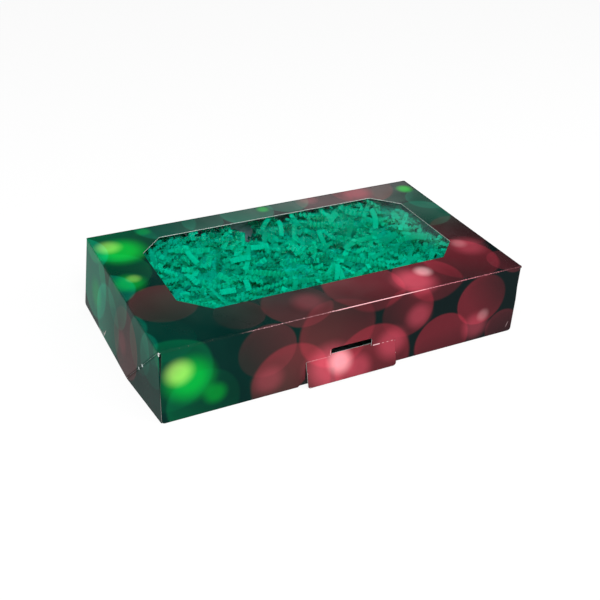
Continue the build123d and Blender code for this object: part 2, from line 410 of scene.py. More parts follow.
def sheet_from_place(graph, across, along):
    """Place on the carton and on the flat sheet. across and along are each a direction and the
    value at the origin, in millimetres."""
    where = graph.where()
    u = graph.plus(graph.dot(where, across[0]), across[1])
    v = graph.plus(graph.dot(where, along[0]), along[1])
    return where, u, v


# Depths under a panel's outer face at which the ink ends and the grey back starts
INK_DEPTH, BACK_DEPTH = (0.1, 0.06), (0.4, 0.44)
VARNISH_ROUGHNESS, BARE_ROUGHNESS = (0.15, 0.22), 0.85
# Refraction of the varnish: it is heavier on the top than on the upright panels
VARNISH, TOP_VARNISH, FRONT_VARNISH, END_VARNISH = 1.19, 1.36, 1.11, 1.07


def printed_board(node, name, area, across, along, face, fold=None, marking=None, ior=VARNISH):
    """Coated board: the print and its varnish on the outer face, pale fibre at the cut edges,
    and a grey back. face is the outward normal and its distance from the origin; fold says where
    the print runs on round a fold."""
    made, graph, shader, _ = material(name)
    where, u, v = sheet_from_place(graph, across, along)
    group = graph.node("ShaderNodeGroup", node_tree=print_group(name + "_Print", area))
    ink = graph.feed(group, graph.join(u, v))
    depth = graph.less(face[1], graph.dot(where, face[0]))
    printed = graph.ramp(depth, *INK_DEPTH)
    if fold:
        printed = graph.larger(printed, fold(graph, where))
    fibre = graph.noise(where, 2.6, 3.0, 0.65, 1.0)
    cut = graph.mix(fibre, srgb(196, 208, 202), srgb(236, 240, 234))
    bare = graph.mix(graph.ramp(depth, *BACK_DEPTH), cut, speckled_back(graph, where)[1])
    colour = graph.mix(printed, bare, ink)
    slow = graph.noise(where, 0.05, 2.0, 0.5, 2.0)
    varnish = graph.ramp(slow, 0.3, 0.7, *VARNISH_ROUGHNESS)
    rough = graph.blend(printed, BARE_ROUGHNESS, varnish)
    # marks of wear, and on the front panel also the painted shade of its cut sides
    if marking:
        marked, tint = marking(graph, where, u, v)
        colour = graph.mix(marked, colour, tint)
        rough = graph.blend(marked, rough, BARE_ROUGHNESS)
    graph.fill(shader, Roughness=rough, IOR=ior)
    coat(graph, shader, colour, graph.noise(where, 0.03, 1.0, 0.4, 4.0), 0.0004)
    dress(node, made)


def shaded_cut_sides(graph, where):
    """The front panel's cut sides, which lean in from half height up: painted shade, near black
    high up and about half as strong lower down, for the dark gap beside the lid's ends."""
    x, _, z = graph.parts(where)
    lean = graph.ramp(z, HEIGHT / 2, UNDER, 0.0, SIDE_RELIEF, smooth=False)
    out = graph.plus(graph.unsigned(x), lean)
    side = graph.ramp(out, HALF_X - 0.1, HALF_X - 0.03)
    return graph.times(side, graph.ramp(z, 6.0, 26.0, 0.55, 1.0))


def shaded_gusset_front(graph, where):
    """The gusset's cut front edge, printed instead of pale fibre: painted shade for the gap there.
    """
    return graph.ramp(graph.parts(where)[1], 0.5 - GUSSET_FRONT, 0.35 - GUSSET_FRONT)


def outer_fold(graph, where):
    """The rounded rim of the lid's top, where the print runs on over the folds."""
    x, y, _ = graph.parts(where)
    rim = 0.55
    x_out = graph.less(graph.unsigned(x), HALF_X - rim)
    y_out = graph.less(graph.unsigned(y), HALF_Y - rim)
    return graph.ramp(graph.larger(x_out, y_out), 0.0, 0.05)


def front_fold_wear(graph, where, u, v):
    """The coating has cracked along the lid's front fold, most to the right of the middle."""
    near = graph.ramp(v, -HALF_Y + 0.26, -HALF_Y + 0.08)
    below = graph.ramp(v, -HALF_Y - 0.62, -HALF_Y - 0.4)
    left, middle = graph.ramp(u, -75.0, -64.0, 0.0, 0.28), graph.ramp(u, -22.0, 0.0, 0.0, 0.72)
    amount = graph.plus(left, middle)
    for start, stop, share in ((42, 52, 0.5), (84, 92, 0.7), (100, 112, 0.5)):
        amount = graph.times(amount, graph.ramp(u, start, stop, 1.0, share))
    ragged = graph.noise(graph.join(u, graph.times(v, 2.0)), 0.9, 3.0, 0.6, 9.0)
    ragged = graph.plus(graph.less(ragged, 0.62), graph.times(amount, 0.42))
    marked = graph.ramp(ragged, 0.0, 0.16)
    zone = graph.times(near, below)
    stretched = graph.times(zone, graph.times(amount, 0.45))
    marked = graph.larger(graph.times(marked, zone), stretched)
    tint = graph.mix(graph.ramp(u, 30.0, 60.0), srgb(250, 186, 192), srgb(222, 134, 146))
    return marked, tint


def streak(graph, u, v, middle, half, turn, strength):
    """A soft-edged mark: an ellipse on the sheet."""
    away = graph.away(graph.join(u, v), middle, half, turn)
    return graph.ramp(away, 1.25, 0.6, 0.0, strength)


def front_scuffs_and_shade(graph, where, u, v):
    """A short pale scuff near the front panel's right end, one beside the slot's left end, and
    painted shade on the panel's cut sides.
    """
    scuff = streak(graph, u, v, (116.3, FRONT_EDGE + 5.8), (0.35, 2.3), -20.0, 0.3)
    beside = streak(graph, u, v, (-15.1, FRONT_EDGE + 19.4), (0.25, 2.4), 3.0, 0.6)
    side = shaded_cut_sides(graph, where)
    # the cut sides go near black: painted shade
    tint = graph.mix(side, srgb(226, 190, 192), srgb(3, 9, 9))
    return graph.larger(graph.larger(scuff, beside), side), tint


def left_end_tear(graph, where, u, v):
    """A small tear in the left end flap's lower edge, with the ink gone round it."""
    y, z = graph.parts(where)[1:]
    slit = streak(graph, y, z, (24.0, 4.4), (4.2, 0.45), -55.0, 0.9)
    slit = graph.larger(slit, streak(graph, y, z, (26.6, 3.0), (2.0, 0.3), 25.0, 0.7))
    bare = streak(graph, y, z, (32.5, 1.2), (4.5, 0.9), 0.0, 0.5)
    return graph.larger(slit, bare), srgb(214, 202, 200)


printed_board(
    "lid_top", "Board_Top", (-HALF_X, HALF_X, -HALF_Y - 1, HALF_Y + 1), ACROSS, BACKWARD,
    (ALONG_Z, HEIGHT), fold=outer_fold, ior=TOP_VARNISH,
)
printed_board(
    "lid_front_panel", "Board_Front", (-HALF_X, HALF_X, FRONT_EDGE, -HALF_Y), ACROSS,
    DOWN_FRONT, ((0, -1, 0), HALF_Y), marking=front_scuffs_and_shade, ior=FRONT_VARNISH,
)
drop = 1 / math.cos(TAB_SWING)
tab_out = (0, -math.cos(TAB_SWING), math.sin(TAB_SWING))
printed_board(
    "lock_tab", "Board_Tab", (-32.0, 31.0, FRONT_EDGE, FRONT_EDGE + 19), ACROSS,
    ((0, 0, drop), FRONT_EDGE + TAB_CREASE - TAB_CREASE * drop),
    (tab_out, Vector((0, -HALF_Y, TAB_CREASE)).dot(Vector(tab_out))), ior=FRONT_VARNISH,
)


def down_end(side, flare):
    """On the lid's ends the sheet runs outwards and down from the fold."""
    run = 1 / math.cos(flare)
    return (0, 0, -side * run), side * (HALF_X + BOARD + UNDER * run)


def end_board(node, name, side, flare, normal=None, point=None, marking=None, fold=None):
    """Board of a lid's end flap or gusset."""
    if normal is None:
        normal = Vector((side * math.cos(flare), 0, math.sin(flare)))
        point = Vector((side * HALF_X, 0, UNDER))
    edges = sorted((side * HALF_X, side * (HALF_X + HEIGHT)))
    area = (*edges, -HALF_Y, HALF_Y)
    face = (tuple(normal), Vector(point).dot(Vector(normal)))
    printed_board(node, name, area, down_end(side, flare), BACKWARD, face, fold, marking, END_VARNISH)


def gusset_frame(side, flare):
    """Corner point, direction along, direction across and outward normal of a folded gusset."""
    fold = math.acos(math.cos(flare) ** 2)
    run = Vector((0, -1, 0))
    up = Vector((-side * math.sin(flare), 0, math.cos(flare)))
    out = Vector((side * math.cos(flare), 0, math.sin(flare)))
    along = (-run - up).normalized()
    across = (run - up).normalized()
    outward = out * math.cos(fold) + across * math.sin(fold)
    corner = Vector((side * HALF_X, 0, UNDER)) + run * GUSSET_FRONT - out * BOARD
    return corner, along, across, out, outward, fold


def gusset_board(node, name, side, flare):
    corner, _, _, _, outward, _ = gusset_frame(side, flare)
    # the gusset's cut front edge takes the print as painted shade
    end_board(node, name, side, flare, outward, corner + outward * BOARD, fold=shaded_gusset_front)


end_board("lid_left_end_flap", "Board_Left_End", -1, LEFT_FLARE, marking=left_end_tear)
end_board("lid_right_end_flap", "Board_Right_End", 1, RIGHT_FLARE)
gusset_board("lid_left_gusset", "Board_Left_Gusset", -1, LEFT_FLARE)
gusset_board("lid_right_gusset", "Board_Right_Gusset", 1, RIGHT_FLARE)
printed_board(
    "tray_back_wall", "Board_Back", (-HALF_X, HALF_X, HALF_Y, BACK_EDGE), ACROSS,
    ((0, 0, -1), BACK_EDGE), (ALONG_Y, HALF_Y),
)


def bottom_fold(graph, where):
    """The bottom's rounded-over sides."""
    return graph.ramp(graph.parts(where)[2], 0.495, 0.47)


def pressed_scores(graph, where):
    """The end walls' scores are pressed into the board, so the print runs on in them. It ends
    under the walls' cut top edge."""
    x, _, z = graph.parts(where)
    out = graph.ramp(graph.unsigned(x), TRAY_END_FACE - 0.25, TRAY_END_FACE - 0.19)
    return graph.times(out, graph.ramp(z, 47.45, 47.4))


bottom_edge = 3 * HALF_Y + HEIGHT
printed_board(
    "tray_bottom", "Board_Bottom", (-HALF_X, HALF_X, BACK_EDGE, bottom_edge), ACROSS,
    ((0, -1, 0), 2 * HALF_Y + HEIGHT), ((0, 0, -1), 0.0), fold=bottom_fold,
)
printed_board(
    "tray_front_wall", "Board_Tray_Front",
    (-HALF_X, HALF_X, bottom_edge, 3 * HALF_Y + 2 * HEIGHT), ACROSS, (ALONG_Z, bottom_edge),
    ((0, -1, 0), TRAY_FRONT_FACE),
)
# The tray's ends on the sheet: where they end, their span along it and its middle
end_edge, end_span, end_middle = HALF_X + HEIGHT, (120.0, 260.0), (ALONG_Y, 190.0)
printed_board(
    "tray_left_end_wall", "Board_Tray_Left", (-end_edge, -HALF_X, *end_span),
    (ALONG_Z, -end_edge), end_middle, ((-1, 0, 0), TRAY_END_FACE), fold=pressed_scores,
)
printed_board(
    "tray_right_end_wall", "Board_Tray_Right", (HALF_X, end_edge, *end_span),
    ((0, 0, -1), end_edge), end_middle, (ALONG_X, TRAY_END_FACE), fold=pressed_scores,
)


def glued_boards(name, side, face):
    """The two flaps that are glued behind a panel: grey back on the inner face, and the sheet's
    dark ink on the outer one, which lies face from the middle on one side."""
    made, graph, shader, _ = material(name, BARE_ROUGHNESS, 0.15)
    where = graph.where()
    speck, back = speckled_back(graph, where)
    depth = graph.less(face, graph.dot(where, (0, side, 0)))
    ink = graph.mix(graph.ramp(speck, 0.3, 0.7), srgb(2, 12, 12), srgb(5, 20, 18))
    colour = graph.mix(graph.ramp(depth, 0.4, 0.2), back, ink)
    coat(graph, shader, colour, speck, 0.00002)
    return made


for panel, name, side, face in (
    ("lid", "Board_Lid_Glue_Flaps", -1, 69.3),
    ("tray_front", "Board_Tray_Front_Glue_Flaps", -1, 68.0),
    ("tray_back", "Board_Tray_Back_Glue_Flaps", 1, 69.3),
):
    glued = glued_boards(name, side, face)
    dress(panel + "_left_glue_flap", glued)
    dress(panel + "_right_glue_flap", glued)


# The creases
# The layer of board that bends in each crease, as a thin printed skin from panel to panel. A
# skin stands PROUD of the board's face and goes SUNK deep under it. It reaches over both panels.
PROUD, SUNK = 0.03, 0.04
FOLD, REACH, TAB_REACH = 0.4, 0.7, 0.6
# Where the skins start and stop along the creases; the diagonal ones start at the corner
END_SPAN, FRONT_SPAN, BACK_SPAN = (-68.7, 69.0), (0.1 - HALF_X, HALF_X - 0.1), (-119.0, 119.0)
GUSSET_SPAN = (1.6, 66.0)


def crease_look(name, group, across, along, marking=None, shade=0.9):
    """Ink over a fold, dull because the varnish is broken there, and darkened by shade: painted
    shade in the crease.
    """
    made, graph, shader, _ = material(name, 0.7, 0.08)
    where, u, v = sheet_from_place(graph, across, along)
    group = graph.node("ShaderNodeGroup", node_tree=bpy.data.node_groups[group])
    ink = graph.feed(group, graph.join(u, v))
    # painted shade: the ink times shade
    colour = graph.mix(1.0, ink, (shade, shade, shade, 1), "MULTIPLY")
    if marking:
        marked, tint = marking(graph, where, u, v)
        colour = graph.mix(marked, colour, tint)
    coat(graph, shader, colour, graph.noise(where, 2.6, 3.0, 0.65, 1.0), 0.00003)
    return made


def skin(name, line, outward, sweep, look):
    """A closed thin skin: the line across the fold, with the outward direction at each of its
    points, swept along the crease from the first to the second of sweep's two offsets."""
    count = len(line)
    ring = [Vector(p) + Vector(n) * PROUD for p, n in zip(line, outward)]
    ring += [Vector(p) - Vector(n) * SUNK for p, n in reversed(list(zip(line, outward)))]
    size = len(ring)
    points = [(p + Vector(offset)) * MM for offset in sweep for p in ring]
    faces = side_quads(size)
    for i in range(count - 1):
        mate = size - 1 - i
        faces.append((i, mate, mate - 1, i + 1))
        faces.append((size + i, size + i + 1, size + mate - 1, size + mate))
    obj = new_mesh(name, points, faces, look)
    return obj


def fold_line(edge, side, flare):
    """Line over a fold of the lid's top: the edge's distance from the middle, the side that it
    is on, and how far the panel below it leans out. Gives pairs (outward place, height) and
    (outward, up) directions."""
    line, outward = [(side * (edge - FOLD - REACH), HEIGHT)], [(0.0, 1.0)]
    for step in range(7):
        a = math.radians(90 - 15 * step)
        out, up = FOLD * math.cos(a), FOLD * math.sin(a)
        line.append((side * (edge - FOLD + out), HEIGHT - FOLD + up))
        outward.append((side * math.cos(a), math.sin(a)))
    c, w = math.cos(flare), math.sin(flare)
    for down in (0.0, REACH):
        line.append((side * (edge + down * w), UNDER - 0.05 - down * c))
        outward.append((side * c, w))
    return line, outward


def fold_skin(name, across, edge, side, flare, span, look):
    """Skin over a fold of the top: across is the direction to it, and span where it runs."""

    def turned(pairs):
        return [(a * across[0], a * across[1], z) for a, z in pairs]

    line, outward = fold_line(edge, side, flare)
    sweep = [(at * across[1], at * across[0], 0) for at in span]
    return skin(name, turned(line), turned(outward), sweep, look)


def end_crease(which, side, flare):
    name, body = which + "_end_crease", which + "_end_flap"
    across = ((1, 0, -side), side * HEIGHT)
    look = crease_look(name + "_look", "Board_Top_Print", across, BACKWARD)
    piece = fold_skin(name, ALONG_X, HALF_X, side, flare, END_SPAN, look)
    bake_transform(piece)


end_crease("left", -1, LEFT_FLARE)
end_crease("right", 1, RIGHT_FLARE)

FRONT_LOOK = crease_look(
    "front_crease_look", "Board_Top_Print", ACROSS, ((0, 1, 1), -HEIGHT), front_fold_wear
)
BACK_LOOK = crease_look("back_crease_look", "Board_Top_Print", ACROSS, ((0, 1, -1), HEIGHT))
front_crease = fold_skin("front_crease", ALONG_Y, HALF_Y, -1, 0.0, FRONT_SPAN, FRONT_LOOK)
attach(front_crease, "lid")
back_crease = fold_skin("back_crease", ALONG_Y, HALF_Y, 1, 0.0, BACK_SPAN, BACK_LOOK)
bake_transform(back_crease)


def gusset_crease(which, side, flare, dots):
    """Skin over a diagonal crease, with pale dots where its cuts show. A dot is a distance from
    the corner, a radius and a strength."""
    corner, along, across, out, outward, fold = gusset_frame(side, flare)
    inner = across * math.cos(fold) - out * math.sin(fold)
    flap_face, gusset_face = corner + out * BOARD, corner + outward * BOARD
    bend = (out + outward).normalized()
    crest = corner + bend * BOARD / math.cos(fold / 2)
    line = [flap_face - across * 0.9, flap_face - across * 0.1, crest]
    line += [gusset_face + inner * 0.1, gusset_face + inner * 0.9]

    def marking(graph, where, u, v):
        distance = graph.less(graph.dot(where, along), corner.dot(along))
        beside = graph.less(graph.dot(where, across), corner.dot(across))
        ragged = graph.noise(where, 1.2, 2.0, 0.6, 12.0)
        drawn = graph.ramp(graph.unsigned(beside), 0.22, 0.1, 0.0, 0.34)
        drawn = graph.times(drawn, graph.ramp(distance, 46.0, 30.0, 0.7, 1.0))
        marked = graph.times(drawn, graph.ramp(ragged, 0.38, 0.62))
        place = graph.join(distance, beside)
        for at, size, strength in dots:
            away = graph.away(place, (at, 0), (size, size))
            marked = graph.larger(marked, graph.ramp(away, 1.2, 0.7, 0.0, strength))
        return marked, srgb(206, 220, 218)

    name, group = which + "_gusset_crease_skin", "Board_" + which.title() + "_End_Print"
    # 0.75 gives the diagonal crease deeper painted shade
    look = crease_look(name + "_look", group, down_end(side, flare), BACKWARD, marking, 0.75)
    sweep = [along * at for at in GUSSET_SPAN]
    piece = skin(name, line, [out, out, bend, outward, outward], sweep, look)
    start, end = (crest - across * 0.12) * MM, (crest + across * 0.12) * MM
    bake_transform(piece)
    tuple(start)
    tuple(end)


gusset_crease("left", -1, LEFT_FLARE, ((31.6, 1.15, 0.9), (39.0, 1.05, 0.7)))
gusset_crease("right", 1, RIGHT_FLARE, ((30.4, 0.6, 0.6), (37.8, 0.6, 0.5)))


def tab_crease_wear(graph, where, u, v):
    """Cuts of the tab's crease: a torn one beside the slot, a row of small ones to its right, and
    a fine pale line on the left."""
    off_crease = graph.unsigned(graph.less(v, TAB_CREASE - HALF_Y - HEIGHT))
    narrow = graph.ramp(off_crease, 0.26, 0.1, 0.0, 0.8)
    beside = graph.ramp(graph.unsigned(graph.less(u, 16.4)), 2.7, 2.0)
    tear = graph.times(beside, graph.ramp(off_crease, 0.42, 0.15, 0.0, 0.8))
    row = graph.math("COSINE", graph.times(graph.less(u, 21.1), 2.0))
    row = graph.times(graph.ramp(row, 0.1, 0.6, 0.0, 0.6), graph.ramp(u, 18.6, 19.4))
    ragged = graph.noise(graph.join(u, v), 0.9, 2.0, 0.6, 4.0)
    left = graph.times(graph.ramp(ragged, 0.35, 0.7, 0.1, 0.5), graph.ramp(u, 0.0, -1.0))
    marks = graph.times(graph.larger(row, left), narrow)
    return graph.larger(marks, tear), srgb(250, 206, 210)


TAB_LOOK = crease_look(
    "tab_crease_look", "Board_Front_Print", ACROSS, DOWN_FRONT, tab_crease_wear, 1.0
)
tab_down = Vector((0, -math.sin(TAB_SWING), -math.cos(TAB_SWING)))
crease_at = Vector((0, -HALF_Y, TAB_CREASE))
for name, low, high in (
    ("tab_crease_left", TAB_SHIFT - TAB_HALF, TAB_SHIFT - SLOT_HALF),
    ("tab_crease_right", TAB_SHIFT + SLOT_HALF, TAB_SHIFT + TAB_HALF),
):
    piece = skin(
        name,
        [crease_at + Vector((0, 0, TAB_REACH)), crease_at, crease_at + tab_down * TAB_REACH],
        [(0, -1, 0), Vector((0, -1, 0)).lerp(Vector(tab_out), 0.5), tab_out],
        ((low + 0.1, 0, 0), (high - 0.1, 0, 0)),
        TAB_LOOK,
    )
    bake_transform(piece)


# Torn fibre
def fibre_look():
    made, graph, shader, _ = material("Board_Fibre", 0.9, 0.0)
    where = graph.where()
    fibre = graph.noise(where, 4.0, 3.0, 0.65, 1.0)
    colour = graph.mix(fibre, srgb(206, 214, 210), srgb(244, 246, 242))
    coat(graph, shader, colour, fibre, 0.00004)
    return made


FIBRE = fibre_look()


def tufts(name, body, seed, spots):
    """Little torn flakes of board. A spot is a place, the spread round it, how many flakes, their
    size and the direction that they stand out in."""
    rng = np.random.default_rng(seed)
    points, faces = [], []
    for place, spread, count, size, out in spots:
        out = Vector(out).normalized()
        side = out.orthogonal().normalized()
        for _ in range(count):
            root = Vector(place) + Vector(rng.normal(0, 1, 3) * np.array(spread))
            turn = Matrix.Rotation(rng.uniform(0, 2 * math.pi), 3, out)
            reach = size * rng.uniform(0.6, 1.3)
            flat = turn @ side
            tip = (out + Vector(rng.normal(0, 0.5, 3))).normalized() * reach
            thick = flat.cross(tip).normalized() * 0.05
            wide = reach * rng.uniform(0.3, 0.55)
            outline = [flat * -wide, flat * wide, flat * wide * 0.7 + tip * 0.6, tip]
            outline.append(flat * -wide * 0.5 + tip * 0.75)
            base = len(points)
            points += [(root + p + thick) * MM for p in outline]
            points += [(root + p - thick) * MM for p in outline]
            faces.append(tuple(base + i for i in range(5)))
            faces.append(tuple(base + 9 - i for i in range(5)))
            for i in range(5):
                j = (i + 1) % 5
                faces.append((base + j, base + i, base + 5 + i, base + 5 + j))
    obj = new_mesh(name, points, faces, FIBRE, body)


CORNER_FRAY = [
    ((-119.75, -69.6, 47.9), (0.25, 0.12, 0.35), 9, 0.75, (-0.7, -0.7, 0.3)),
    ((-119.6, -69.75, 46.6), (0.12, 0.08, 0.5), 4, 0.5, (-0.8, -0.4, -0.2)),
]
TAB_NICKS = [
    ((-30.8, -71.8, 9.6), (0.02, 0.04, 0.3), 3, 0.36, (-0.2, -1, 0.2)),
    ((29.2, -71.95, 9.1), (0.02, 0.04, 0.25), 3, 0.36, (0.2, -1, 0.2)),
    ((-29.7, -74.1, 1.5), (0.2, 0.04, 0.1), 3, 0.34, (-0.2, -1, 0.1)),
]
tufts("front_corner_fray", "lid", 3, CORNER_FRAY)
tufts("lock_tab_nicks", "lock_tab", 4, TAB_NICKS)


# The film
def film_look():
    made, graph, unused, out = material("Film_Clear")
    graph.tree.nodes.remove(unused)
    where = graph.where()
    wave = graph.noise(where, 0.03, 2.0, 0.5, 2.0)
    scuff = graph.noise(graph.vector("MULTIPLY", where, (0.06, 0.5, 1.0)), 1.0, 3.0, 0.6, 8.0)
    slope = bump(graph, wave, 0.0006)
    # the film is milky over the window's right corner: painted sheen, a diffuse haze that stands
    # in for the reflection there
    x, y, _ = graph.parts(where)
    spot = graph.away(graph.join(x, y), (99.0, 8.0), (27.0, 50.0), 14.0)
    corner = graph.ramp(spot, 1.2, 0.3, 0.0, 0.03)
    gloss = graph.node("ShaderNodeBsdfAnisotropic")
    graph.fill(gloss, Color=(1, 1, 1, 1), Roughness=0.09, Normal=slope)
    clear = graph.node("ShaderNodeBsdfTransparent")
    graph.fill(clear, Color=(0.92, 0.98, 0.985, 1))
    haze_and_sheen = graph.node("ShaderNodeBsdfDiffuse")
    graph.fill(haze_and_sheen, Color=(0.55, 0.86, 0.88, 1))
    # scuffs, and the painted sheen at the window's right corner
    dull = graph.plus(graph.ramp(scuff, 0.5, 0.85, 0.0, 0.006), corner)
    milky = graph.two_shaders(dull, clear, haze_and_sheen)
    fresnel = graph.fill(graph.node("ShaderNodeFresnel"), IOR=1.05, Normal=slope)
    front = graph.less(1.0, graph.node("ShaderNodeNewGeometry").outputs["Backfacing"])
    both = graph.two_shaders(graph.times(fresnel, front), milky, gloss)
    graph.put(out.inputs[0], both.outputs[0])
    return made


def film_sheet():
    """The film, a glue line's thickness under the board, with rounded corners."""
    low, high = (Vector(corner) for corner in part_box("window_film"))
    round_off, glue = 2.0 * MM, 0.06 * MM
    ring = []
    for x, y, first in (
        (high.x - round_off, high.y - round_off, 0),
        (low.x + round_off, high.y - round_off, 90),
        (low.x + round_off, low.y + round_off, 180),
        (high.x - round_off, low.y + round_off, 270),
    ):
        for step in range(7):
            a = math.radians(first + 15 * step)
            ring.append((x + round_off * math.cos(a), y + round_off * math.sin(a)))
    count = len(ring)
    points = [(x, y, low.z) for x, y in ring] + [(x, y, high.z - glue) for x, y in ring]
    faces = [tuple(reversed(range(count))), tuple(range(count, 2 * count))]
    faces += side_quads(count)
    return new_mesh("film_sheet", points, faces, film_look(), "lid")


film = film_sheet()
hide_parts("window_film")


# Crinkle-cut paper
STRIP_WIDTH, PLEAT, PLEAT_HEIGHT = 3.4, 2.1, 1.9
PAPER_LIGHT_THROUGH = 0.34
# Mean height of the paper, height that it doesn't pass, and the ridge along its back
PAPER_LEVEL, PAPER_TOP, RIDGE, RIDGE_AT, RIDGE_WIDTH = 43.8, 46.6, 3.0, 54.0, 9.0
X_IN, FRONT_IN, BACK_IN = 117.4, -67.0, 68.2
TOP_LIMIT, LOW_LIMIT = 47.5, 0.8
SLOT_SPACE_HALF, SLOT_BACK, SLOT_SPACE_TOP = 22, -54, 33

# Places where the paper has parted and the grey inside of the tray shows: place, radii, depth
HOLLOWS = [
    ((-13, 57), (8.5, 17), 40),
    ((19, 64), (4, 7), 22),
    ((-52, 70), (10, 6), 16),
    ((52, 31), (6, 8), 26),
    ((90, 40), (5, 8), 26),
    ((101, 27), (3, 6), 20),
    ((104, -4), (3, 9), 16),
    ((58, 70), (9, 5), 14),
    ((-112, 34), (7, 16), 9),
    ((-62, 8), (13, 8), 10),
    ((-20, -14), (12, 9), 9),
    ((36, -27), (13, 7), 9),
    ((76, -6), (12, 9), 9),
]


def paper_level(x, y):
    """Height of the loose paper's surface over the tray."""
    level = PAPER_LEVEL + 1.4 * np.sin(x * 0.062 + 1.3) * np.cos(y * 0.081 - 0.4)
    level += 1.0 * np.sin(x * 0.17 - y * 0.11 + 2.1)
    level += RIDGE * np.exp(-(((y - RIDGE_AT) / RIDGE_WIDTH) ** 2))
    level = np.minimum(level, PAPER_TOP) - 1.6 * np.clip((y - 60) / 8, 0, 1)
    level -= 1.2 * np.clip((np.abs(x) - 100) / 15, 0, 1)
    for at, size, deep in HOLLOWS:
        away = ((x - at[0]) / size[0]) ** 2 + ((y - at[1]) / size[1]) ** 2
        level -= deep * np.exp(-(away**1.5))
    return np.maximum(level, 0.0)


# Ribbons that lie in the open on top: middle, height, length, heading and tip in degrees, and the
# share of their pleats' height that they keep
OPEN_RIBBONS = [
    ((29, -17), 45.9, 46, -42, 62, 1.3),
    ((-10, -27), 45.8, 30, -7, 66, 1.3),
    ((-20, 21), 46.2, 13, -7, 46, 0.35),
    ((2, 12), 46.4, 16, -64, 14, 0.4),
    ((4, 41), 46.6, 22, -107, 10, 0.35),
    ((11, -27), 46.6, 19, -121, 12, 0.4),
    ((18, -28), 46.2, 13, -78, -14, 0.4),
    ((-75, 0), 46.3, 15, -78, 12, 0.4),
    ((-82, -28), 45.8, 22, -38, 60, 1.2),
    ((71, 30), 45.8, 30, -114, 28, 0.9),
    ((86, 16), 46.0, 26, -132, 16, 0.4),
    ((80, -4), 45.8, 24, -9, 58, 1.2),
    ((-38, 11), 46.0, 14, -2, 48, 0.35),
    ((-60, -22), 46.0, 10, -4, 44, 0.35),
    ((-47, -20), 46.4, 13, -102, 10, 0.4),
    ((-62, 34), 45.4, 24, -20, 62, 1.05),
    ((44, 4), 45.8, 26, 12, 60, 1.2),
    ((34, 34), 45.4, 22, -30, 60, 1.05),
    ((-98, 22), 45.4, 18, -60, 56, 1.0),
    ((-30, -10), 45.8, 26, -30, 60, 1.2),
]


def ribbon(rng, x, y, lift, length, lean, flat, springy, laid=None):
    """One strip pressed into pleats: its middle line, an arc that twists a little, and the two
    rows of points along its edges, in millimetres. A laid one has a heading and a tip."""
    pleat = PLEAT * rng.uniform(1.15, 1.65)
    pressed = rng.uniform(0, 1) < (0.0 if springy else 0.45)
    tall = PLEAT_HEIGHT * (rng.uniform(0.2, 0.5) if pressed else rng.uniform(0.9, 1.35)) * flat
    count = max(6, int(length / (pleat / 2)))
    heading, tip = rng.uniform(0, 2 * math.pi), rng.normal(0, 0.35 if springy else 0.8)
    curl = rng.normal(0, 0.05)
    if laid:
        (heading, tip), curl = laid, curl * 0.4
    turn = Matrix.Rotation(heading, 3, "Z") @ Matrix.Rotation(lean, 3, "Y")
    turn = turn @ Matrix.Rotation(tip, 3, "X")
    swerve, twist = rng.normal(0, 0.012), rng.normal(0, 0.035)
    step = pleat / 2
    s = (np.arange(count + 1) - count / 2) * step
    pitch, yaw, roll = curl * s, swerve * s, twist * s
    tangent = np.stack([np.cos(pitch) * np.cos(yaw), np.sin(yaw), np.sin(pitch)], 1)
    line = np.cumsum(tangent * step, 0)
    line -= line.mean(0)
    side = np.cross([0, 0, 1.0], tangent)
    side /= np.linalg.norm(side, axis=1)[:, None]
    normal = np.cross(tangent, side)
    c, w = np.cos(roll)[:, None], np.sin(roll)[:, None]
    side, normal = side * c + normal * w, normal * c - side * w
    jitter = rng.uniform(0.7, 1.2, count + 1)
    zig = (np.arange(count + 1) % 2 - 0.5) * tall * jitter
    line = line + normal * zig[:, None]
    half = STRIP_WIDTH / 2 * rng.uniform(0.9, 1.06)
    rot = np.array(turn)
    points = np.empty((2 * (count + 1), 3))
    points[0::2] = (line - side * half) @ rot.T
    points[1::2] = (line + side * half) @ rot.T
    points += [x, y, lift]
    return points


def kept_inside(p):
    """The points moved clear of the walls, the film and the bottom, where they have to be."""
    shift = np.zeros(3)
    low_corner, high_corner = p.min(0), p.max(0)
    shift[0] = max(0, -X_IN - low_corner[0]) - max(0, high_corner[0] - X_IN)
    shift[1] = max(0, FRONT_IN - low_corner[1]) - max(0, high_corner[1] - BACK_IN)
    shift[2] = max(0, LOW_LIMIT - low_corner[2]) - max(0, high_corner[2] - TOP_LIMIT)
    return p + shift


def ribbon_layer(strips):
    """One layer of paper from ribbons, each given as its points and its tone."""
    points, faces, tone, base = [], [], [], 0
    for p, shade in strips:
        points.append(p)
        faces.extend((i, i + 1, i + 3, i + 2) for i in range(base, base + len(p) - 2, 2))
        tone.extend([shade] * len(p))
        base += len(p)
    return np.concatenate(points) * MM, faces, np.array(tone, np.float32)


def open_ribbons(seed):
    rng = np.random.default_rng(seed)
    strips = []
    for (x, y), lift, length, heading, tip, flat in OPEN_RIBBONS:
        laid = (math.radians(heading), math.radians(tip))
        p = kept_inside(ribbon(rng, x, y, lift, length, rng.normal(0, 0.03), flat, True, laid))
        strips.append((p, rng.uniform(0.6, 1.0)))
    return ribbon_layer(strips)


